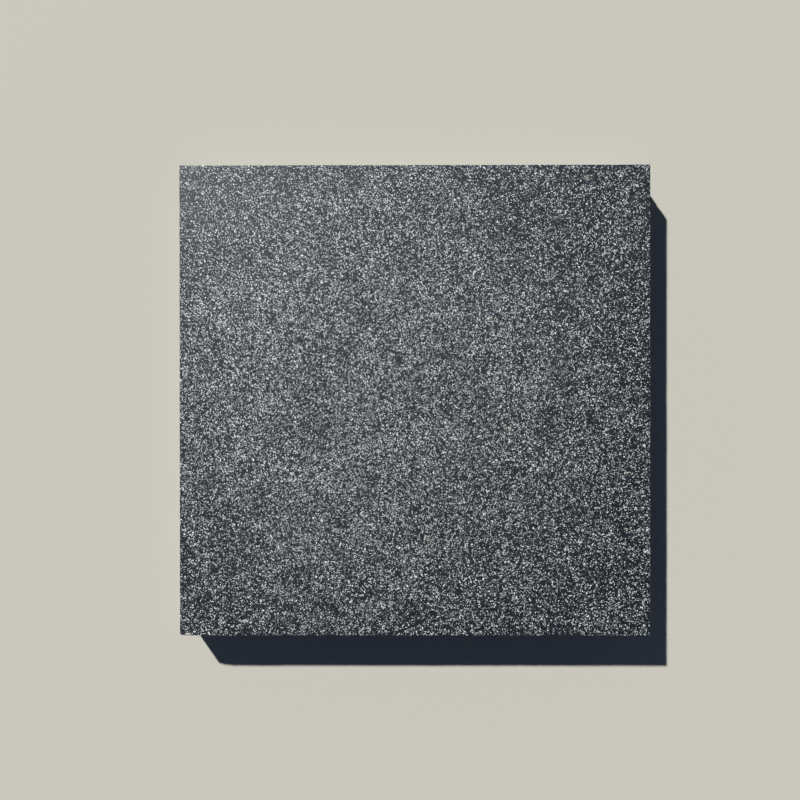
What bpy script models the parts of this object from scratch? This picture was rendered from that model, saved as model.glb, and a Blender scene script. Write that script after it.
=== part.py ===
"""A square granite slab for leatherwork, standing on four stick-on rubber feet.

Metres, +Z up. The origin is on the bench under the middle of the slab. +X is to the right, -Y is the
front edge, and the chip is in the top arris at the left end of that edge.
"""

import math

import bmesh
import bpy
from mathutils import Matrix, Vector

# The stone block
SLAB_WIDTH = 0.300  # along X
SLAB_DEPTH = 0.300  # along Y
SLAB_THICKNESS = 0.020
ARRIS_RADIUS = 0.0005  # the sawn edges are barely eased
ARRIS_SEGMENTS = 3

# The chip: a shallow scoop that starts at the front left corner
CHIP_LENGTH = 0.0075  # along the front edge, from the corner
CHIP_REACH = 0.0016  # into the top face
CHIP_DROP = 0.0022  # down the front face
CHIP_DEEPEST = 0.0025  # from the corner to the place where it goes furthest in

# A rubber foot, and where the four of them stand
FOOT_DIAMETER = 0.025
FOOT_HEIGHT = 0.0018
FOOT_EDGE_RADIUS = 0.0006  # round the underside
FOOT_INSET = 0.030  # from each side of the slab to the foot's middle

# The foam disc that sticks a foot to the stone
DISC_MARGIN = 0.0015  # the foot's rim stands this far outside the disc
DISC_THICKNESS = 0.0004

CONTACT_GAP = 0.0003  # between the pieces that touch

ROUND_STEPS = 48  # sides of a round piece
ARC_STEPS = 5  # points round the foot's edge
SCOOP_STEPS = 32  # sides of the chip's cutter
MERGE_DISTANCE = 0.00001

DISC_DIAMETER = FOOT_DIAMETER - 2 * DISC_MARGIN
DISC_BOTTOM = FOOT_HEIGHT + CONTACT_GAP
SLAB_BOTTOM = DISC_BOTTOM + DISC_THICKNESS + CONTACT_GAP
SLAB_TOP = SLAB_BOTTOM + SLAB_THICKNESS

CORNERS = {"front_left": (-1, -1), "front_right": (1, -1), "back_left": (-1, 1), "back_right": (1, 1)}


def clear_scene():
    """Remove every object that the file opened with."""
    for found in list(bpy.data.objects):
        bpy.data.objects.remove(found)


def new_collection(name):
    """Link a new collection to the scene."""
    collection = bpy.data.collections.new(name)
    bpy.context.scene.collection.children.link(collection)
    return collection


def new_material(name, colour, roughness):
    """Make a plain material for one kind of piece."""
    material = bpy.data.materials.new(name)
    material.use_nodes = True
    shader = material.node_tree.nodes["Principled BSDF"]
    shader.inputs["Base Color"].default_value = (*colour, 1)
    shader.inputs["Roughness"].default_value = roughness
    shader.inputs["Metallic"].default_value = 0
    return material


def new_object(name, mesh, collection, place):
    """Put a mesh in a collection as a named object at a place."""
    piece = bpy.data.objects.new(name, mesh)
    piece.location = place
    collection.objects.link(piece)
    return piece


def mesh_from(name, build):
    """Fill a new mesh with what build adds to a bmesh."""
    shape = bmesh.new()
    build(shape)
    mesh = bpy.data.meshes.new(name)
    shape.to_mesh(mesh)
    shape.free()
    return mesh


def foot_profile():
    """Points of half a foot's section, from the middle of its top, down its side and in along its base."""
    radius = FOOT_DIAMETER / 2
    bend = Vector((radius - FOOT_EDGE_RADIUS, FOOT_EDGE_RADIUS))
    arc = []
    for step in range(ARC_STEPS):
        turn = math.radians(90) * step / (ARC_STEPS - 1)
        arc.append(bend + FOOT_EDGE_RADIUS * Vector((math.cos(turn), -math.sin(turn))))
    return [Vector((0, FOOT_HEIGHT)), Vector((radius, FOOT_HEIGHT)), *arc, Vector((0, 0))]


def turned_mesh(name, profile):
    """A profile in the XZ plane as a chain of edges, for a Screw modifier to turn."""

    def build(shape):
        points = [shape.verts.new((point.x, 0, point.y)) for point in profile]
        for start, end in zip(points, points[1:]):
            shape.edges.new((start, end))

    return mesh_from(name, build)


def add_turn(piece):
    """Turn a profile round its own Z axis."""
    turn = piece.modifiers.new("turn", "SCREW")
    turn.steps = ROUND_STEPS
    turn.render_steps = ROUND_STEPS
    turn.use_merge_vertices = True
    turn.merge_threshold = MERGE_DISTANCE
    turn.use_smooth_shade = True


def make_chip_cutter(collection):
    """An egg-shaped scoop on the line of the front top arris, which takes the corner with it."""
    sizes = Vector((CHIP_LENGTH - CHIP_DEEPEST, CHIP_REACH, CHIP_DROP))

    def build(shape):
        bmesh.ops.create_uvsphere(
            shape,
            u_segments=SCOOP_STEPS,
            v_segments=SCOOP_STEPS // 2,
            radius=1,
            matrix=Matrix.Diagonal((*sizes, 1)),
        )

    place = (-SLAB_WIDTH / 2 + CHIP_DEEPEST, -SLAB_DEPTH / 2, SLAB_TOP)
    cutter = new_object("chip_cutter", mesh_from("chip_cutter", build), collection, place)
    cutter.hide_render = True
    cutter.display_type = "WIRE"
    return cutter


def make_slab(collection, material, chip_cutter):
    """The stone block, with eased arrises and the chip."""

    def build(shape):
        sizes = (SLAB_WIDTH, SLAB_DEPTH, SLAB_THICKNESS, 1)
        bmesh.ops.create_cube(shape, size=1, matrix=Matrix.Diagonal(sizes))

    place = (0, 0, SLAB_BOTTOM + SLAB_THICKNESS / 2)
    slab = new_object("granite_slab", mesh_from("granite_slab", build), collection, place)
    slab.data.materials.append(material)
    arris = slab.modifiers.new("arris", "BEVEL")
    arris.width = ARRIS_RADIUS
    arris.segments = ARRIS_SEGMENTS
    chip = slab.modifiers.new("chip", "BOOLEAN")
    chip.operation = "DIFFERENCE"
    chip.solver = "EXACT"
    chip.object = chip_cutter


def foot_place(corner, height):
    """The middle of the foot near a corner, at a height."""
    across, along = CORNERS[corner]
    return (across * (SLAB_WIDTH / 2 - FOOT_INSET), along * (SLAB_DEPTH / 2 - FOOT_INSET), height)


def make_feet(collection, material):
    """Four turned rubber feet that share one profile."""
    mesh = turned_mesh("rubber_foot", foot_profile())
    mesh.materials.append(material)
    for corner in CORNERS:
        add_turn(new_object("rubber_foot_" + corner, mesh, collection, foot_place(corner, 0)))


def make_discs(collection, material):
    """Four foam discs that share one mesh, one on top of each foot."""

    def build(shape):
        bmesh.ops.create_cone(
            shape,
            cap_ends=True,
            segments=ROUND_STEPS,
            radius1=DISC_DIAMETER / 2,
            radius2=DISC_DIAMETER / 2,
            depth=DISC_THICKNESS,
        )

    mesh = mesh_from("adhesive_disc", build)
    mesh.materials.append(material)
    mesh.shade_smooth()
    mesh.set_sharp_from_angle(angle=math.radians(30))
    for corner in CORNERS:
        place = foot_place(corner, DISC_BOTTOM + DISC_THICKNESS / 2)
        new_object("adhesive_disc_" + corner, mesh, collection, place)


def main():
    """Build the slab, its feet and the discs between them."""
    clear_scene()
    parts = new_collection("granite_slab_on_feet")
    cutters = new_collection("cutters")
    stone = new_material("black_granite", (0.075, 0.080, 0.089), 0.45)
    rubber = new_material("black_rubber", (0.020, 0.020, 0.022), 0.8)
    foam = new_material("white_foam_tape", (0.72, 0.71, 0.68), 0.6)
    make_slab(parts, stone, make_chip_cutter(cutters))
    make_feet(parts, rubber)
    make_discs(parts, foam)


main()
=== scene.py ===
"""The looks of a black granite slab for leatherwork, standing on four stick-on rubber feet.

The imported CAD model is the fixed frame, and every place below is worked out from its nodes. Lengths
are in metres and colours are linear.
"""

import logging
import math
from dataclasses import dataclass, field, replace
from enum import Enum
from itertools import product
from random import Random
from typing import Callable

import bmesh
import bpy
from mathutils import Euler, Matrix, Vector, noise

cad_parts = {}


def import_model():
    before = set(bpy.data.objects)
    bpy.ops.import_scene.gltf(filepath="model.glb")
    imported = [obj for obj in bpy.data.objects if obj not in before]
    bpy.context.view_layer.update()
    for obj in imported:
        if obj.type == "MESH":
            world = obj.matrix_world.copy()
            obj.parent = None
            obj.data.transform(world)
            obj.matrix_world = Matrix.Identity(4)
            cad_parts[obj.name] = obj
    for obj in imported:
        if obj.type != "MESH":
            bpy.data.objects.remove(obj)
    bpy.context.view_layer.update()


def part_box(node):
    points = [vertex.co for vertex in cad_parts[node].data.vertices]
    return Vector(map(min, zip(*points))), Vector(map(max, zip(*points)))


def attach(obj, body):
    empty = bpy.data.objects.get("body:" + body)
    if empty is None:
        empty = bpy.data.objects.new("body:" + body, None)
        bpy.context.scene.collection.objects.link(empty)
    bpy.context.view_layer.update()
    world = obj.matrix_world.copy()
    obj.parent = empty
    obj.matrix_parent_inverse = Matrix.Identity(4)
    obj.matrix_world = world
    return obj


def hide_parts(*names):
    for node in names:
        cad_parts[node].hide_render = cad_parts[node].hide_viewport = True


log = logging.getLogger("granite_slab")

Colour = tuple[float, float, float]
Span = tuple[float, float]
CORNERS = ("front_left", "front_right", "back_left", "back_right")
MM = 0.001
MIDDLE = (0.5, 0.5, 0.5)
GREEN = (0.0, 1.0, 0.0)
SHARP_DEG = 32


class Value:
    """A shader socket that carries one number, with Python's arithmetic on it."""

    def __init__(self, graph: "Graph", socket: bpy.types.NodeSocket) -> None:
        """Wrap one socket of a graph."""
        self.graph = graph
        self.socket = socket

    def __add__(self, other: "Value | float") -> "Value":
        """Give the sum."""
        return self.graph.math("ADD", self, other)

    def __radd__(self, other: float) -> "Value":
        """Give the sum, with a plain number on the left."""
        return self.graph.math("ADD", other, self)

    def __sub__(self, other: "Value | float") -> "Value":
        """Give the difference."""
        return self.graph.math("SUBTRACT", self, other)

    def __rsub__(self, other: float) -> "Value":
        """Give the difference, with a plain number on the left."""
        return self.graph.math("SUBTRACT", other, self)

    def __mul__(self, other: "Value | float") -> "Value":
        """Give the product."""
        return self.graph.math("MULTIPLY", self, other)

    def __rmul__(self, other: float) -> "Value":
        """Give the product, with a plain number on the left."""
        return self.graph.math("MULTIPLY", other, self)

    def __pow__(self, power: float) -> "Value":
        """Give a power of the value."""
        return self.graph.math("POWER", self, power)

    def __abs__(self) -> "Value":
        """Give the size without the sign."""
        return self.graph.math("ABSOLUTE", self)


Fed = Value | bpy.types.NodeSocket | float | tuple


@dataclass(frozen=True)
class Sheen:
    """How a surface shines: how high its relief stands, how strongly it mirrors, and in what colour."""

    relief: float
    ior: float = 1.5
    level: float = 0.5
    tint: Colour = (1.0, 1.0, 1.0)


class Graph:
    """The node tree of a material or of the world, filled by short calls."""

    def __init__(self, owner: bpy.types.Material | bpy.types.World) -> None:
        """Empty the tree of its owner."""
        self.owner = owner
        self.owner.use_nodes = True
        self.tree = self.owner.node_tree
        self.tree.nodes.clear()

    def node(self, kind: str, settings: dict | None = None, sockets: dict | None = None) -> bpy.types.Node:
        """Add a node.

        Args:
            kind: the node's type, without its leading "ShaderNode".
            settings: what is set on the node itself, before its sockets.
            sockets: a value or a link for each input, by name or number.

        Returns:
            The new node.
        """
        made = self.tree.nodes.new("ShaderNode" + kind)
        for name, setting in (settings or {}).items():
            setattr(made, name, setting)
        for name, fed in (sockets or {}).items():
            self.feed(made.inputs[name], fed)
        return made

    def feed(self, socket: bpy.types.NodeSocket, fed: Fed) -> None:
        """Link an input to what feeds it, or set its number, vector or colour."""
        if isinstance(fed, Value):
            fed = fed.socket
        if isinstance(fed, bpy.types.NodeSocket):
            self.tree.links.new(fed, socket)
        elif socket.type == "RGBA":
            socket.default_value = (*fed, 1)
        else:
            socket.default_value = fed

    def math(self, operation: str, *operands: Value | float) -> Value:
        """Add a Math node on up to three numbers."""
        sockets = dict(enumerate(operands))
        return Value(self, self.node("Math", {"operation": operation}, sockets).outputs[0])

    def vector(self, operation: str, *operands: Fed) -> bpy.types.NodeSocket:
        """Add a Vector Math node that gives a vector."""
        made = self.node("VectorMath", {"operation": operation}, dict(enumerate(operands)))
        return made.outputs["Vector"]

    def measure(self, operation: str, *operands: Fed) -> Value:
        """Add a Vector Math node that gives a number, such as a length or a dot product."""
        made = self.node("VectorMath", {"operation": operation}, dict(enumerate(operands)))
        return Value(self, made.outputs["Value"])

    def ramp(self, value: Value, start: float, end: float, low: float = 0.0, high: float = 1.0) -> Value:
        """Ease from low to high as a value goes from start to end, and hold it beyond them."""
        sockets = {"Value": value, "From Min": start, "From Max": end, "To Min": low, "To Max": high}
        made = self.node("MapRange", {"interpolation_type": "SMOOTHSTEP"}, sockets)
        return Value(self, made.outputs["Result"])

    def blend(self, low: Fed, high: Fed, share: Value | float) -> bpy.types.NodeSocket:
        """Mix two colours by a share from 0 to 1."""
        return self.node("Mix", {"data_type": "RGBA"}, {0: share, 6: low, 7: high}).outputs[2]

    def place(self) -> bpy.types.NodeSocket:
        """Give the piece's own coordinates, in metres."""
        return self.node("TexCoord").outputs["Object"]

    def cloud(self, at: Fed, size: float, detail: float = 2.0, roughness: float = 0.5) -> Value:
        """Give soft noise from 0 to 1 whose lumps are about one size."""
        sockets = {"Vector": at, "Scale": 1 / size, "Detail": detail, "Roughness": roughness}
        return Value(self, self.node("TexNoise", None, sockets).outputs["Fac"])

    def stripes(self, along: Value, pitch: float, detail: float = 2.0) -> Value:
        """Give noise from 0 to 1 that changes only with one length, as marks side by side do."""
        sockets = {"W": along, "Scale": 1 / pitch, "Detail": detail, "Roughness": 0.6}
        return Value(self, self.node("TexNoise", {"noise_dimensions": "1D"}, sockets).outputs["Fac"])

    def mixed(self, first: Value, second: Value, shares: Span) -> Value:
        """Add two values up, each by its share."""
        return first * shares[0] + second * shares[1]

    def height_of(self, at: Fed) -> Value:
        """Give the Z of a point or a direction."""
        return Value(self, self.node("SeparateXYZ", None, {0: at}).outputs["Z"])

    def finish(self, colour: Fed, roughness: Fed, height: Value, sheen: Sheen) -> bpy.types.Material:
        """Close the tree with a Principled shader.

        Args:
            colour: the base colour.
            roughness: the roughness.
            height: the surface's relief, from 0 to 1.
            sheen: how the surface shines.

        Returns:
            The finished material.
        """
        bump = self.node("Bump", None, {"Strength": 1.0, "Distance": sheen.relief, "Height": height})
        sockets = {
            "Base Color": colour,
            "Roughness": roughness,
            "Normal": bump.outputs[0],
            "IOR": sheen.ior,
            "Specular IOR Level": sheen.level,
            "Specular Tint": sheen.tint,
        }
        shader = self.node("BsdfPrincipled", None, sockets)
        self.node("OutputMaterial", None, {"Surface": shader.outputs[0]})
        return self.owner


class Surface(Enum):
    """How a face of the stone was left."""

    HONED = 0
    SIDE = 1
    UNDERSIDE = 2
    BROKEN = 3


@dataclass(frozen=True)
class Plates:
    """Feldspar plates of about one size, each facing its own way, which a cut shows as short laths."""

    spacing: float
    thickness: float
    radius: float
    share: float
    shift: float


@dataclass(frozen=True)
class Grain:
    """What a point of the stone is made of: how much feldspar, how warm, and the dark crystals round it."""

    feldspar: Value
    warmth: Value
    dark: Value


@dataclass(frozen=True)
class SawMarks:
    """The marks that the saws left: arcs on the sides from a disc blade, long lines underneath."""

    blade_radius: float = 200 * MM
    blade_below: float = 5 * MM
    arc_pitch: float = 1.6 * MM
    line_pitch: float = 3.5 * MM
    line_wander: float = 1.2 * MM
    wander_length: float = 60 * MM
    arc_detail: float = 3.0
    line_detail: float = 4.0

    def arcs(self, graph: Graph, at: bpy.types.NodeSocket, foot: float) -> Value:
        """Give the marks on the sides.

        Args:
            graph: the tree that the nodes go in.
            at: the point, in metres.
            foot: the height of the stone's lower face.

        Returns:
            The marks' relief, from 0 to 1.
        """
        parts = graph.node("SeparateXYZ", None, {0: at}).outputs
        along = Value(graph, parts["X"]) + Value(graph, parts["Y"])
        drop = (foot + self.blade_radius - self.blade_below) - Value(graph, parts["Z"])
        arc = graph.math("SQRT", self.blade_radius**2 - drop * drop)
        return graph.stripes(along - arc, self.arc_pitch, self.arc_detail)

    def lines(self, graph: Graph, at: bpy.types.NodeSocket) -> Value:
        """Give the marks on the underside, from 0 to 1."""
        parts = graph.node("SeparateXYZ", None, {0: at}).outputs
        wander = graph.stripes(Value(graph, parts["Y"]), self.wander_length) * self.line_wander
        return graph.stripes(Value(graph, parts["X"]) + wander, self.line_pitch, self.line_detail)


@dataclass(frozen=True)
class Dust:
    """How thickly dust lies on a sawn face: its least share, how much its drifts add, and their size."""

    least: float
    drifts: float
    size: float


@dataclass(frozen=True)
class Granite:
    """The finish of black granite: pale feldspar laths felted in a blue-black ground."""

    ground_dark: Colour = (0.0010, 0.0014, 0.0028)
    ground_light: Colour = (0.010, 0.015, 0.026)
    feldspar_cool: Colour = (0.88, 0.94, 0.97)
    feldspar_warm: Colour = (0.93, 0.91, 0.80)
    paleness: dict[Surface, float] = field(
        default_factory=lambda: {
            Surface.HONED: 1.0,
            Surface.SIDE: 0.5,
            Surface.UNDERSIDE: 0.5,
            Surface.BROKEN: 0.20,
        }
    )
    dust: Colour = (0.21, 0.215, 0.22)
    crushed: Colour = (0.85, 0.84, 0.79)
    plates: tuple[Plates, ...] = (
        Plates(1.55 * MM, 0.50 * MM, 0.76 * MM, 0.15, 0.0),
        Plates(1.1 * MM, 0.48 * MM, 0.53 * MM, 0.24, 7.1),
        Plates(0.80 * MM, 0.45 * MM, 0.38 * MM, 0.34, 3.7),
        Plates(0.60 * MM, 0.42 * MM, 0.28 * MM, 0.38, 5.3),
    )
    # Painted sheen: feldspar is made richer toward the upper left and sparser toward the lower right, a
    # lighting gradient laid into the colour.
    painted_sheen_middle: Vector = Vector((-45, 20, 12)) * MM
    painted_sheen_reach: Span = (50 * MM, 210 * MM)
    painted_sheen_share: Span = (1.13, 0.72)
    richness: Span = (0.19, 0.77)
    clouds: Span = (0.3, 0.7)
    patchiness: float = 0.65
    cloud_size: float = 16 * MM
    patch_size: float = 2.8 * MM
    crystal_size: float = 0.6 * MM
    ground_contrast: float = 3.0
    ragged: float = 0.16 * MM
    lath_side: Span = (0.85, 1.15)
    lath_end: float = 0.92
    tones: Span = (0.04, 0.95)
    warm_clouds: Span = (0.5, 0.75)
    honed: Sheen = Sheen(0.002 * MM, 1.7, 0.52, (0.82, 0.92, 1.0))
    honed_roughness: float = 0.58
    feldspar_roughness: float = 0.04
    dark_roughness: float = 0.02
    honed_relief: Span = (0.6, 0.4)
    sawn: Sheen = Sheen(0.05 * MM)
    sawn_roughness: float = 0.66
    feldspar_polish: float = 0.08
    mark_roughness: float = 0.16
    mark_dust: float = 0.25
    sawn_relief: Span = (0.8, 0.2)
    side_dust: Dust = Dust(0.16, 0.22, 9 * MM)
    underside_dust: Dust = Dust(0.28, 0.25, 12 * MM)
    broken: Sheen = Sheen(0.16 * MM)
    broken_roughness: float = 0.75
    broken_relief: Span = (0.5, 0.5)
    crumb_size: float = 0.5 * MM
    crumb_clouds: Span = (0.3, 0.5)
    crumb_polish: float = 0.2
    crumb_cover: Span = (0.85, 1.0)
    bruise_reach: Span = (0.55 * MM, 0.95 * MM)
    bruise_squeeze: Colour = (0.25, 1.0, 1.0)
    bruise_outside: float = 0.02
    marks: SawMarks = SawMarks()

    def laths(self, graph: Graph, at: bpy.types.NodeSocket, plates: Plates, richness: Value) -> Value:
        """Give the paleness of one set of plates at a point.

        Args:
            graph: the tree that the nodes go in.
            at: the point, in metres.
            plates: the set.
            richness: how much feldspar there is round here, about 0.5 on average, raised toward the upper
                left and lowered toward the lower right as painted sheen.

        Returns:
            From 0, none, to 1, the palest crystal.
        """
        moved = graph.vector("ADD", at, (plates.shift, plates.shift / 2, -plates.shift))
        cells = graph.node("TexVoronoi", None, {"Vector": moved, "Scale": 1 / plates.spacing})
        offset = graph.vector("SUBTRACT", moved, cells.outputs["Position"])
        turned = graph.vector("SUBTRACT", cells.outputs["Color"], MIDDLE)
        facing = graph.vector("NORMALIZE", turned)
        off_plane = abs(graph.measure("DOT_PRODUCT", offset, facing))
        side_in, side_out = (plates.thickness / 2 * share for share in self.lath_side)
        inside = 1 - graph.ramp(off_plane, side_in, side_out)
        reach = graph.measure("LENGTH", offset)
        inside = inside * (1 - graph.ramp(reach, plates.radius * self.lath_end, plates.radius))
        dice = graph.node("TexWhiteNoise", None, {"Vector": cells.outputs["Position"]})
        there = graph.math("LESS_THAN", Value(graph, dice.outputs["Value"]), richness * (2 * plates.share))
        tone = graph.measure("DOT_PRODUCT", dice.outputs["Color"], GREEN)
        return inside * there * graph.ramp(tone, *self.tones)

    def grain(self, graph: Graph, at: bpy.types.NodeSocket) -> Grain:
        """Lay the crystals through the block, so that the pattern runs on from face to face."""
        wide = graph.cloud(at, self.cloud_size, 2.0, 0.6)
        patch = graph.cloud(at, self.patch_size, 1.0)
        fray = graph.node("TexNoise", None, {"Vector": at, "Scale": 2 / self.crystal_size, "Detail": 1.0})
        stray = graph.vector("SUBTRACT", fray.outputs["Color"], MIDDLE)
        at = graph.vector("MULTIPLY_ADD", stray, (2 * self.ragged,) * 3, at)
        # Painted sheen: more pale feldspar toward the upper left and less toward the lower right, standing
        # in for how the light falls across the top.
        away = graph.measure("DISTANCE", at, self.painted_sheen_middle)
        clouds = wide * (1 - self.patchiness) + patch * self.patchiness
        richness = graph.ramp(clouds, *self.clouds, *self.richness)
        richness = richness * graph.ramp(away, *self.painted_sheen_reach, *self.painted_sheen_share)
        feldspar = None
        for plates in self.plates:
            laths = self.laths(graph, at, plates, richness)
            feldspar = laths if feldspar is None else graph.math("MAXIMUM", feldspar, laths)
        warmth = graph.ramp(graph.cloud(at, self.patch_size), *self.warm_clouds)
        cells = graph.node("TexVoronoi", None, {"Vector": at, "Scale": 1 / self.crystal_size})
        dark = graph.measure("DOT_PRODUCT", cells.outputs["Color"], GREEN)
        return Grain(feldspar, warmth, dark)

    def material(self, name: str, surface: Surface, foot: float, bruise: Vector) -> bpy.types.Material:
        """Make the stone's material for one kind of face.

        Args:
            name: the material's name.
            surface: how the face was left.
            foot: the height of the stone's lower face.
            bruise: the middle of the place that is crushed white in the chip.

        Returns:
            The material.
        """
        graph = Graph(bpy.data.materials.new(name))
        at = graph.place()
        grain = self.grain(graph, at)
        ground = graph.blend(self.ground_dark, self.ground_light, grain.dark**self.ground_contrast)
        pale = graph.blend(self.feldspar_cool, self.feldspar_warm, grain.warmth)
        colour = graph.blend(ground, pale, grain.feldspar * self.paleness[surface])
        if surface is Surface.HONED:
            roughness = self.honed_roughness + self.feldspar_roughness * grain.feldspar
            roughness = roughness + self.dark_roughness * grain.dark
            height = graph.mixed(grain.feldspar, grain.dark, self.honed_relief)
            return graph.finish(colour, roughness, height, self.honed)
        if surface is Surface.BROKEN:
            return self.break_open(graph, at, colour, grain, bruise)
        side = surface is Surface.SIDE
        marks = self.marks.arcs(graph, at, foot) if side else self.marks.lines(graph, at)
        layer = self.side_dust if side else self.underside_dust
        dusty = layer.least + layer.drifts * graph.cloud(at, layer.size, 3.0)
        colour = graph.blend(colour, self.dust, dusty + self.mark_dust * (marks - 0.5))
        roughness = self.sawn_roughness + self.mark_roughness * marks
        roughness = roughness - self.feldspar_polish * grain.feldspar
        height = graph.mixed(marks, grain.dark, self.sawn_relief)
        return graph.finish(colour, roughness, height, self.sawn)

    def break_open(
        self, graph: Graph, at: Fed, colour: Fed, grain: Grain, bruise: Vector
    ) -> bpy.types.Material:
        """Close the tree of a broken face, rough all over and crushed white round the bruise.

        Args:
            graph: the tree that the nodes go in.
            at: the point, in metres.
            colour: the stone's own colour.
            grain: what the stone is made of there.
            bruise: the middle of the place that is crushed white.

        Returns:
            The finished material.
        """
        crumbs = graph.cloud(at, self.crumb_size, 3.0, 0.6)
        away = graph.vector("MULTIPLY", graph.vector("SUBTRACT", at, bruise), self.bruise_squeeze)
        white = graph.ramp(graph.measure("LENGTH", away), *self.bruise_reach, 1.0, self.bruise_outside)
        cover = graph.ramp(crumbs, *self.crumb_clouds, *self.crumb_cover)
        colour = graph.blend(colour, self.crushed, cover * white)
        roughness = self.broken_roughness - self.crumb_polish * crumbs
        height = graph.mixed(crumbs, grain.dark, self.broken_relief)
        return graph.finish(colour, roughness, height, self.broken)


@dataclass(frozen=True)
class Scoop:
    """A rounded bite out of the stone: its middle, its reach each way, its turn and its roughness."""

    middle: Vector
    reach: Vector
    turn_deg: Vector = Vector((0, 0, 0))
    roughness: float = 0.16
    fineness: int = 2
    lump: float = 0.6
    squareness: float = 0.0

    def add_to(self, shape: bmesh.types.BMesh, slot: int) -> None:
        """Add the bite's rough ball to a mesh, and put its faces in a material slot."""
        ball = bmesh.ops.create_icosphere(shape, subdivisions=self.fineness, radius=1)["verts"]
        turn = Euler([math.radians(angle) for angle in self.turn_deg]).to_matrix()
        seed = self.middle * (1 / MM)
        for vert in ball:
            swell = 1 + self.roughness * noise.noise(vert.co / self.lump + seed)
            square = vert.co / max(abs(part) for part in vert.co)
            form = vert.co.lerp(square, self.squareness) * swell
            vert.co = self.middle + turn @ Vector([a * b for a, b in zip(form, self.reach)])
        for face in {face for vert in ball for face in vert.link_faces}:
            face.material_index = slot
            face.smooth = True


@dataclass(frozen=True)
class Chart:
    """Where one side of the block lies in the texture layout."""

    across: int
    up: int
    corner: tuple[float, float]
    size: tuple[float, float]


@dataclass
class StoneBlock:
    """The slab itself, with its arrises, its nicks and the chip at the front left corner."""

    low: Vector
    high: Vector
    arris: float = 0.5 * MM
    arris_wander: float = 0.45
    arris_lump: float = 16 * MM
    cell: float = 4 * MM
    nick_spacing: float = 13 * MM
    nick_stray: float = 0.3
    nick_bite: Span = (0.24 * MM, 0.42 * MM)
    lower_nick_bite: Span = (0.26 * MM, 0.95 * MM)
    nick_swell: Span = (1.3, 2.0)
    nick_stretch: Span = (1.3, 2.8)
    nick_squash: Span = (0.9, 1.2)
    nick_turn_deg: float = 14
    unnicked: float = 12 * MM
    deep_bite: Scoop = Scoop(
        middle=Vector((0.9, -0.05, 0.1)) * MM,
        reach=Vector((2.9, 1.75, 1.6)) * MM,
        turn_deg=Vector((0, -6, 2)),
        roughness=0.12,
        fineness=4,
        lump=0.5,
    )
    shelf_bite: Scoop = Scoop(
        middle=Vector((5.1, 0.85, 0.58)) * MM,
        reach=Vector((2.6, 1.1, 0.85)) * MM,
        turn_deg=Vector((3, -3, -3)),
        roughness=0.06,
        fineness=4,
        lump=0.35,
        squareness=0.3,
    )
    slope_bite: Scoop = Scoop(
        middle=Vector((4.7, -0.27, 0.09)) * MM,
        reach=Vector((3.2, 0.85, 0.85)) * MM,
        turn_deg=Vector((42, 0, 0)),
        roughness=0.10,
        fineness=4,
        lump=0.4,
        squareness=0.6,
    )
    flake_bite: Scoop = Scoop(
        middle=Vector((8.2, -0.15, 0.28)) * MM,
        reach=Vector((1.1, 0.6, 0.6)) * MM,
        turn_deg=Vector((0, 0, 4)),
        fineness=3,
    )
    bruise_from_corner: Vector = Vector((5.2, 1.4, -0.27)) * MM
    weld: float = 0.002 * MM
    sliver: float = 0.001 * MM
    chart_size: float = 0.756
    chart_gap: float = 0.004
    chart_reach: float = 3 * MM
    least_upright: float = 0.5
    least_flat: float = 0.9999
    seed: int = 11
    finish: Granite = field(default_factory=Granite)

    def __post_init__(self) -> None:
        """Work out the lattice: for each axis, how many steps it has."""
        self.stops = (0.0, 1 - math.tan(math.radians(22.5)), 1.0)
        inner = [size - 2 * self.arris for size in self.high - self.low]
        self.steps = [round(length / self.cell) + 2 * (len(self.stops) - 1) for length in inner]

    def line(self, axis: int, index: int, radius: float) -> float:
        """Give the place of a lattice line on an axis, where the arris has a radius."""
        low, high = self.low[axis], self.high[axis]
        rim = len(self.stops) - 1
        back = self.steps[axis] - index
        if index < rim:
            return low + radius * self.stops[index]
        if back < rim:
            return high - radius * self.stops[back]
        share = (index - rim) / (self.steps[axis] - 2 * rim)
        return low + radius + share * (high - low - 2 * radius)

    def spot(self, index: tuple[int, int, int]) -> Vector:
        """Give the place of a lattice point on the block's rounded surface."""
        plain = Vector([self.line(axis, index[axis], self.arris) for axis in range(3)])
        radius = self.arris * (1 + self.arris_wander * noise.noise(plain / self.arris_lump))
        sharp = Vector([self.line(axis, index[axis], radius) for axis in range(3)])
        ends = zip(sharp, self.low, self.high)
        inner = Vector([min(max(at, low + radius), high - radius) for at, low, high in ends])
        return inner + (sharp - inner).normalized() * radius

    def lattice(self) -> bmesh.types.BMesh:
        """Make the closed block with rounded arrises, as a lattice of four-sided faces."""
        shape = bmesh.new()
        points = {}
        for axis in range(3):
            across, up = (axis + 1) % 3, (axis + 2) % 3
            for end in (0, self.steps[axis]):
                for i, j in product(range(self.steps[across]), range(self.steps[up])):
                    face = []
                    for di, dj in ((0, 0), (1, 0), (1, 1), (0, 1)):
                        index = [end] * 3
                        index[across], index[up] = i + di, j + dj
                        key = tuple(index)
                        if key not in points:
                            points[key] = shape.verts.new(self.spot(key))
                        face.append(points[key])
                    shape.faces.new(face if end else face[::-1])
        shape.normal_update()
        for face in shape.faces:
            up = face.normal.z
            surface = Surface.HONED if up > 0 else Surface.UNDERSIDE
            face.material_index = surface.value if abs(up) > self.least_upright else Surface.SIDE.value
            face.smooth = max(abs(part) for part in face.normal) < self.least_flat
        return shape

    def edge_point(self, axis: int, sides: tuple[int, int], share: float) -> Vector:
        """Give the point at a share of the way along one of the twelve edges.

        Args:
            axis: the axis that the edge runs along.
            sides: -1 or 1 on each of the two other axes in turn, for its low or its high end.
            share: from 0 to 1.

        Returns:
            The point, on the line where the two faces would meet.
        """
        edge = Vector()
        edge[axis] = self.low[axis] + share * (self.high[axis] - self.low[axis])
        for step, side in enumerate(sides, 1):
            other = (axis + step) % 3
            edge[other] = self.high[other] if side > 0 else self.low[other]
        return edge

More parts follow.
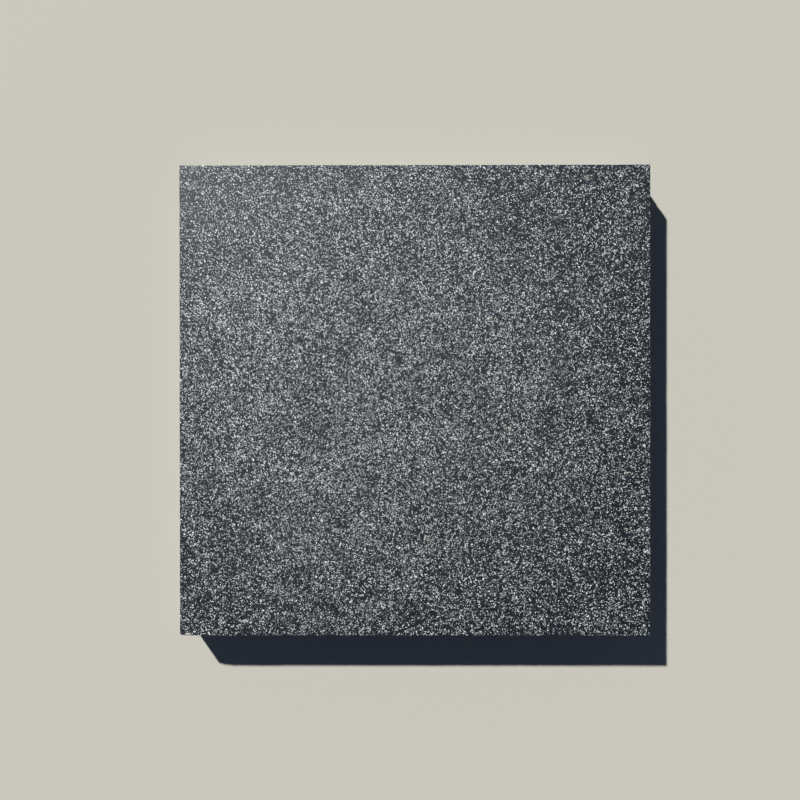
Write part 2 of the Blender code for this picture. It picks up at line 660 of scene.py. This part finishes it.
    def nick(self, dice: Random, edge: Vector, axis: int, sides: tuple[int, int]) -> Scoop:
        """Draw one nick, longer along its edge than across it, at a point of that edge."""
        across, up = (axis + 1) % 3, (axis + 2) % 3
        outward = Vector()
        outward[across], outward[up] = sides
        on_top = edge.z > self.high.z - self.arris
        small, large = self.nick_bite if on_top else self.lower_nick_bite
        bite = small + (large - small) * dice.random() ** 3
        ball = bite * dice.uniform(*self.nick_swell)
        reach = Vector((ball, ball, ball))
        reach[axis] *= dice.uniform(*self.nick_stretch)
        reach[across] *= dice.uniform(*self.nick_squash)
        turn = Vector([dice.uniform(-self.nick_turn_deg, self.nick_turn_deg) for _ in range(3)])
        return Scoop(edge + outward.normalized() * (ball - bite), reach, turn)

    def nicks(self) -> list[Scoop]:
        """Strew small nicks along the twelve edges, smaller round the top, none at the chip."""
        dice = Random(self.seed)
        scoops = []
        for axis in range(3):
            count = max(1, round((self.high[axis] - self.low[axis]) / self.nick_spacing))
            for sides in product((-1, 1), repeat=2):
                for number in range(count):
                    share = (number + 0.5 + dice.uniform(-self.nick_stray, self.nick_stray)) / count
                    edge = self.edge_point(axis, sides, share)
                    scoop = self.nick(dice, edge, axis, sides)
                    if (edge - self.chip_corner()).length > self.unnicked:
                        scoops.append(scoop)
        return scoops

    def chip_corner(self) -> Vector:
        """Give the corner that the chip is at."""
        return Vector((self.low.x, self.low.y, self.high.z))

    def chips(self) -> list[Scoop]:
        """Give the bites of the chip: deep at the corner, a shelf past it, a slope below that, a flake."""
        bites = (self.deep_bite, self.shelf_bite, self.slope_bite, self.flake_bite)
        return [replace(bite, middle=self.chip_corner() + bite.middle) for bite in bites]

    def bruise(self) -> Vector:
        """Give the middle of the place where the blow crushed the stone white."""
        return self.chip_corner() + self.bruise_from_corner

    def cut(self, stone: bpy.types.Object, name: str, scoops: list[Scoop]) -> None:
        """Take bites that don't touch each other out of the stone."""
        shape = bmesh.new()
        for scoop in scoops:
            scoop.add_to(shape, Surface.BROKEN.value)
        mesh = bpy.data.meshes.new(name)
        shape.to_mesh(mesh)
        shape.free()
        for material in stone.data.materials:
            mesh.materials.append(material)
        cutter = bpy.data.objects.new(name, mesh)
        bpy.context.scene.collection.objects.link(cutter)
        bite = stone.modifiers.new(name, "BOOLEAN")
        bite.operation = "DIFFERENCE"
        bite.solver = "EXACT"
        bite.object = cutter
        bitten = stone.evaluated_get(bpy.context.evaluated_depsgraph_get())
        settled = bpy.data.meshes.new_from_object(bitten)
        stone.modifiers.remove(bite)
        stone.data = settled
        bpy.data.objects.remove(cutter)

    def charts(self) -> dict[tuple[int, bool], Chart]:
        """Lay the six sides out: the top large, the sides as strips over it, the underside squeezed."""
        gap, wide = self.chart_gap, self.chart_size
        size = self.high - self.low
        tall = wide * size.z / size.x
        found = {(2, True): Chart(0, 1, (gap, gap), (wide, wide))}
        found[(2, False)] = Chart(0, 1, (wide + 2 * gap, gap), (1 - wide - 3 * gap, wide))
        for number, (axis, end) in enumerate(product((0, 1), (False, True))):
            rise = wide + 2 * gap + number * (tall + gap)
            found[(axis, end)] = Chart(1 - axis, 2, (gap, rise), (wide, tall))
        return found

    def lay_out(self, shape: bmesh.types.BMesh) -> None:
        """Give every face its place in the texture layout, seen square on from the side that it is on."""
        layer = shape.loops.layers.uv.new("OFBake")
        charts = self.charts()
        size = self.high - self.low
        for face in shape.faces:
            middle = face.calc_center_median()
            best, chosen = -2.0, (2, True)
            for axis, end in charts:
                plane = self.high[axis] if end else self.low[axis]
                facing = face.normal[axis] * (1 if end else -1)
                if abs(middle[axis] - plane) < self.chart_reach and facing > best:
                    best, chosen = facing, (axis, end)
            chart = charts[chosen]
            for loop in face.loops:
                along = loop.vert.co - self.low
                shares = [along[axis] / size[axis] for axis in (chart.across, chart.up)]
                loop[layer].uv = [c + s * x for c, s, x in zip(chart.corner, chart.size, shares)]

    def build(self) -> bpy.types.Object:
        """Make the stone, bite its nicks and its chip out and lay out its faces.

        Returns:
            The stone, with its materials on it.
        """
        shape = self.lattice()
        mesh = bpy.data.meshes.new("stone_block")
        shape.to_mesh(mesh)
        shape.free()
        stone = bpy.data.objects.new("stone_block", mesh)
        bpy.context.scene.collection.objects.link(stone)
        self.dress(stone)
        self.cut(stone, "nicks", self.nicks())
        for number, scoop in enumerate(self.chips()):
            self.cut(stone, f"chip_{number}", [scoop])
        shape = bmesh.new()
        shape.from_mesh(stone.data)
        bmesh.ops.remove_doubles(shape, verts=shape.verts[:], dist=self.weld)
        bmesh.ops.dissolve_degenerate(shape, edges=shape.edges[:], dist=self.sliver)
        for edge in shape.edges:
            slots = {face.material_index for face in edge.link_faces}
            edge.smooth = not (len(slots) > 1 and Surface.BROKEN.value in slots)
        self.lay_out(shape)
        open_edges = sum(not edge.is_manifold for edge in shape.edges)
        shape.to_mesh(stone.data)
        shape.free()
        log.info("stone block: %d faces, %d open edges", len(stone.data.polygons), open_edges)
        return stone

    def dress(self, stone: bpy.types.Object) -> None:
        """Give each kind of face its finish."""
        for surface in Surface:
            name = "granite_" + surface.name.lower()
            stone.data.materials.append(self.finish.material(name, surface, self.low.z, self.bruise()))


def arc(middle: Vector, radius: float, start: float, end: float, steps: int) -> list[Vector]:
    """Give points on an arc, from one angle to another in degrees, both ends included."""
    turns = [math.radians(start + (end - start) * step / steps) for step in range(steps + 1)]
    return [middle + radius * Vector((math.cos(turn), math.sin(turn))) for turn in turns]


def turned(
    name: str,
    profile: list[Vector],
    axis: Vector,
    steps: int,
    waver: Callable[[Vector], float] | None = None,
) -> bpy.types.Object:
    """Turn a profile about an upright axis into a closed body.

    Args:
        name: the object's name.
        profile: points (distance from the axis, height), whose first and last are on the axis, going
            from the top, outward, down and back in.
        axis: any point of the axis.
        steps: how many steps go round.
        waver: gives how far a point moves outward, if the body isn't truly round.

    Returns:
        The body, linked to the scene.
    """
    shape = bmesh.new()
    rings = []
    for number, point in enumerate(profile):
        on_axis = number in (0, len(profile) - 1)
        ring = []
        for step in range(1 if on_axis else steps):
            turn = 2 * math.pi * step / steps
            outward = Vector((math.cos(turn), math.sin(turn), 0))
            spot = Vector((axis.x, axis.y, point.y)) + outward * point.x
            if waver and not on_axis:
                spot += outward * waver(spot)
            ring.append(shape.verts.new(spot))
        rings.append(ring)
    for upper, lower in zip(rings, rings[1:]):
        for step in range(steps):
            after = (step + 1) % steps
            face = [upper[step % len(upper)], lower[step % len(lower)]]
            if len(lower) > 1:
                face.append(lower[after])
            if len(upper) > 1:
                face.append(upper[after])
            shape.faces.new(face)
    bmesh.ops.recalc_face_normals(shape, faces=shape.faces[:])
    mesh = bpy.data.meshes.new(name)
    shape.to_mesh(mesh)
    shape.free()
    mesh.shade_smooth()
    mesh.set_sharp_from_angle(angle=math.radians(SHARP_DEG))
    body = bpy.data.objects.new(name, mesh)
    bpy.context.scene.collection.objects.link(body)
    return body


@dataclass(frozen=True)
class Rubber:
    """The finish of moulded black rubber: a fine matt skin with a little grey stone dust in it."""

    black: Colour = (0.012, 0.012, 0.013)
    worn: Colour = (0.040, 0.039, 0.038)
    dust: Colour = (0.23, 0.22, 0.20)
    skin_size: float = 0.25 * MM
    smear_size: float = 3.5 * MM
    speck_size: float = 0.5 * MM
    sole_rise: Span = (0.1 * MM, 0.5 * MM)
    sole_rub: float = 0.25
    rub_clouds: Span = (0.45, 0.8)
    speck_clouds: Span = (0.62, 0.72)
    speck_cover: float = 0.12
    sole_speck_cover: float = 0.4
    roughness: float = 0.72
    skin_roughness: float = 0.12
    rub_roughness: float = 0.08
    sheen: Sheen = Sheen(0.02 * MM)

    def material(self, name: str, foot: float) -> bpy.types.Material:
        """Make the rubber's material, for a foot whose sole is at a height."""
        graph = Graph(bpy.data.materials.new(name))
        at = graph.place()
        skin = graph.cloud(at, self.skin_size, 3.0, 0.6)
        smear = graph.cloud(at, self.smear_size, 3.0, 0.65)
        sole = 1 - graph.ramp(graph.height_of(at) - foot, *self.sole_rise)
        rubbed = graph.ramp(smear + self.sole_rub * sole, *self.rub_clouds)
        colour = graph.blend(self.black, self.worn, rubbed)
        specks = graph.ramp(graph.cloud(at, self.speck_size), *self.speck_clouds)
        cover = self.speck_cover + self.sole_speck_cover * sole
        colour = graph.blend(colour, self.dust, specks * cover * smear)
        roughness = self.roughness + self.skin_roughness * skin + self.rub_roughness * rubbed
        return graph.finish(colour, roughness, skin, self.sheen)


@dataclass(frozen=True)
class Foam:
    """The finish of white closed-cell foam tape, cut through its cells with painted shade in their hollows,
    and greyed at the edge.
    """

    white: Colour = (0.70, 0.69, 0.66)
    painted_cell_shade: Colour = (0.42, 0.41, 0.38)
    grime: Colour = (0.17, 0.16, 0.145)
    cell_size: float = 0.16 * MM
    cell_walls: Span = (0.2, 0.75)
    grime_size: float = 2.5 * MM
    grime_clouds: Span = (0.5, 0.75)
    grime_cover: float = 0.6
    roughness: float = 0.82
    wall_roughness: float = 0.1
    sheen: Sheen = Sheen(0.05 * MM)

    def material(self, name: str) -> bpy.types.Material:
        """Make the foam's material."""
        graph = Graph(bpy.data.materials.new(name))
        at = graph.place()
        cells = graph.node("TexVoronoi", None, {"Vector": at, "Scale": 1 / self.cell_size})
        wall = graph.ramp(Value(graph, cells.outputs["Distance"]), *self.cell_walls)
        grime = graph.ramp(graph.cloud(at, self.grime_size, 4.0, 0.6), *self.grime_clouds)
        # Painted shade: the middles of the cut cells are darker, where their hollows would be shaded.
        colour = graph.blend(self.painted_cell_shade, self.white, wall)
        colour = graph.blend(colour, self.grime, grime * self.grime_cover)
        return graph.finish(colour, self.roughness + self.wall_roughness * wall, wall, self.sheen)


@dataclass
class RubberFoot:
    """One stick-on foot: a low drafted disc with a rounded sole, a ring groove and the gate's dimple."""

    corner: str
    steps: int = 96
    round_steps: int = 4
    sole_steps: int = 6
    lip_steps: int = 3
    top_round: float = 0.2 * MM
    sole_round: float = 0.6 * MM
    draft: float = 0.05 * MM
    flash: float = 0.05 * MM
    flash_height: float = 1.15 * MM
    groove_radius: float = 8.4 * MM
    groove_width: float = 1.1 * MM
    groove_depth: float = 0.3 * MM
    groove_lip: float = 0.12 * MM
    groove_slant: float = 0.1 * MM
    gate_radius: float = 1.3 * MM
    gate_depth: float = 0.35 * MM
    gate_lip: float = 0.1 * MM
    gate_floor: float = 0.7
    finish: Rubber = field(default_factory=Rubber)

    def __post_init__(self) -> None:
        """Take the foot's box from the frame."""
        self.node = "rubber_foot_" + self.corner
        self.low, self.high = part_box(self.node)
        self.middle = (self.low + self.high) / 2
        self.radius = (self.high.x - self.low.x) / 2

    def profile(self) -> list[Vector]:
        """Give half of the foot's section, from the middle of its top round to the gate in its sole."""
        top, sole = self.high.z, self.low.z
        waist = self.radius - self.flash
        flash_at = sole + self.flash_height
        upper = waist - self.draft
        points = [Vector((0, top)), Vector((self.radius / 3, top)), Vector((self.radius * 2 / 3, top))]
        bend = Vector((upper - self.top_round, top - self.top_round))
        points += arc(bend, self.top_round, 90, 0, self.round_steps)
        points += arc(Vector((waist, flash_at)), self.flash, 90, -90, self.round_steps)
        bend = Vector((upper - self.sole_round, sole + self.sole_round))
        points += arc(bend, self.sole_round, 0, -90, self.sole_steps)
        points += self.groove(sole)
        bend = Vector((self.gate_radius, sole + self.gate_lip))
        points += arc(bend, self.gate_lip, -90, -180, self.lip_steps)
        dimple = sole + self.gate_depth
        return points + [Vector((self.gate_radius * self.gate_floor, dimple)), Vector((0, dimple))]

    def groove(self, sole: float) -> list[Vector]:
        """Give the ring groove's section, going inward, with eased lips."""
        half, lip = self.groove_width / 2, self.groove_lip
        outer = Vector((self.groove_radius + half + lip, sole + lip))
        inner = Vector((self.groove_radius - half - lip, sole + lip))
        floor = sole + self.groove_depth
        section = arc(outer, lip, -90, -180, self.lip_steps)
        section.append(Vector((outer.x - lip - self.groove_slant, floor)))
        section.append(Vector((inner.x + lip + self.groove_slant, floor)))
        return section + arc(inner, lip, 0, -90, self.lip_steps)

    def build(self) -> bpy.types.Object:
        """Turn the foot's section about its axis."""
        return turned("foot_pad_" + self.corner, self.profile(), self.middle, self.steps)

    def dress(self, foot: bpy.types.Object) -> None:
        """Give the foot its rubber."""
        foot.data.materials.append(self.finish.material("rubber_" + self.corner, self.low.z))


@dataclass
class FoamDisc:
    """The foam disc that holds a foot to the stone, squeezed so that its edge swells a little."""

    corner: str
    stone_foot: float
    steps: int = 120
    swell: float = 0.14 * MM
    waver: float = 0.09 * MM
    waver_lump: float = 0.5 * MM
    rim: float = 0.9
    film: float = 0.06 * MM
    rows: int = 10
    clearance: float = 0.01 * MM
    finish: Foam = field(default_factory=Foam)

    def __post_init__(self) -> None:
        """Take the disc's box from the frame, and its lower face from the foot under it."""
        self.node = "adhesive_disc_" + self.corner
        self.low, self.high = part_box(self.node)
        self.middle = (self.low + self.high) / 2
        self.radius = (self.high.x - self.low.x) / 2
        self.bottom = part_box("rubber_foot_" + self.corner)[1].z + self.clearance
        self.top = self.stone_foot - self.clearance

    def profile(self) -> list[Vector]:
        """Give half of the disc's section, with a thin film of glue at its top and bottom."""
        points = [Vector((self.radius * share, self.top)) for share in (0, 0.5, 1)]
        tall = self.top - self.bottom - 2 * self.film
        for row in range(self.rows + 1):
            share = row / self.rows
            bulge = self.swell * math.sin(math.pi * share) - self.film
            points.append(Vector((self.radius + bulge, self.top - self.film - share * tall)))
        return points + [Vector((self.radius * share, self.bottom)) for share in (1, 0.5, 0)]

    def edge_waver(self, spot: Vector) -> float:
        """Give how far the cut edge strays at a point."""
        out = (spot - self.middle).xy.length > self.radius * self.rim
        return self.waver * noise.noise(spot / self.waver_lump) if out else 0.0

    def build(self) -> bpy.types.Object:
        """Turn the disc's section about its axis."""
        return turned("foam_disc_" + self.corner, self.profile(), self.middle, self.steps, self.edge_waver)

    def dress(self, disc: bpy.types.Object) -> None:
        """Give the disc its foam."""
        disc.data.materials.append(self.finish.material("foam_" + self.corner))


@dataclass(frozen=True)
class Studio:
    """A plain pale floor, soft light and the camera over the slab."""

    floor_colour: Colour = (0.62, 0.605, 0.535)
    floor_roughness: float = 0.9
    floor_gloss: float = 0.2
    floor_size: float = 6.0
    wall_light: Colour = (0.36, 0.41, 0.50)
    ceiling_light: Colour = (0.014, 0.023, 0.046)
    wall_to_ceiling: Span = (0.02, 0.42)
    key_from: Vector = Vector((-0.4765, 0.6910, 0.5436))
    key_strength: float = 5.3
    key_width_deg: float = 2.0
    key_colour: Colour = (1.0, 0.985, 0.955)
    camera_place: Vector = Vector((-0.0080, 0.0010, 0.4378))
    camera_turn_deg: tuple[float, float, float] = (-0.10, 0.19, -0.04)
    camera_near: float = 0.01
    lens: float = 29.32

    def floor(self) -> None:
        """Lay the floor that the feet stand on."""
        bpy.ops.mesh.primitive_plane_add(size=self.floor_size)
        floor = bpy.context.object
        floor.name = "studio_floor"
        graph = Graph(bpy.data.materials.new("pale_floor"))
        sockets = {
            "Base Color": self.floor_colour,
            "Roughness": self.floor_roughness,
            "Specular IOR Level": self.floor_gloss,
        }
        shader = graph.node("BsdfPrincipled", None, sockets)
        graph.node("OutputMaterial", None, {"Surface": shader.outputs[0]})
        floor.data.materials.append(graph.owner)

    def key(self) -> None:
        """Set the key light from the back left."""
        light = bpy.data.lights.new("key", "SUN")
        light.energy = self.key_strength
        light.angle = math.radians(self.key_width_deg)
        light.color = self.key_colour
        lamp = bpy.data.objects.new("key", light)
        lamp.rotation_euler = self.key_from.to_track_quat("Z", "Y").to_euler()
        bpy.context.scene.collection.objects.link(lamp)

    def fill(self) -> None:
        """Wrap the scene in soft light, palest low down, where a studio's walls are."""
        graph = Graph(bpy.data.worlds.new("soft_fill"))
        rise = graph.height_of(graph.node("TexCoord").outputs["Generated"])
        share = graph.ramp(rise, *self.wall_to_ceiling)
        light = graph.blend(self.wall_light, self.ceiling_light, share)
        backdrop = graph.node("Background", None, {"Color": light, "Strength": 1.0})
        graph.node("OutputWorld", None, {"Surface": backdrop.outputs[0]})
        bpy.context.scene.world = graph.owner

    def camera(self) -> None:
        """Hang the camera over the slab, looking straight down."""
        data = bpy.data.cameras.new("camera")
        data.lens = self.lens
        data.clip_start = self.camera_near
        camera = bpy.data.objects.new("camera", data)
        camera.location = self.camera_place
        camera.rotation_euler = [math.radians(turn) for turn in self.camera_turn_deg]
        bpy.context.scene.collection.objects.link(camera)
        bpy.context.scene.camera = camera

    def build(self) -> None:
        """Set up everything round the slab."""
        self.floor()
        self.key()
        self.fill()
        self.camera()
        bpy.context.scene.view_settings.view_transform = "Standard"


def main() -> None:
    """Load the frame and build the slab, its feet and their discs round it."""
    logging.basicConfig(level=logging.INFO, format="%(name)s: %(message)s")
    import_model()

    block = StoneBlock(*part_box("granite_slab"))
    stone = block.build()
    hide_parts("granite_slab")
    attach(stone, "root")

    for corner in CORNERS:
        foot = RubberFoot(corner)
        pad = foot.build()
        foot.dress(pad)
        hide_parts(foot.node)
        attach(pad, "root")
        log.info("rubber foot, %s: %d faces", corner, len(pad.data.polygons))

        disc = FoamDisc(corner, block.low.z)
        foam = disc.build()
        disc.dress(foam)
        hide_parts(disc.node)
        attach(foam, "root")
        log.info("foam disc, %s: %d faces", corner, len(foam.data.polygons))

    Studio().build()
    log.info("studio ready")


if __name__ == "__main__":
    main()
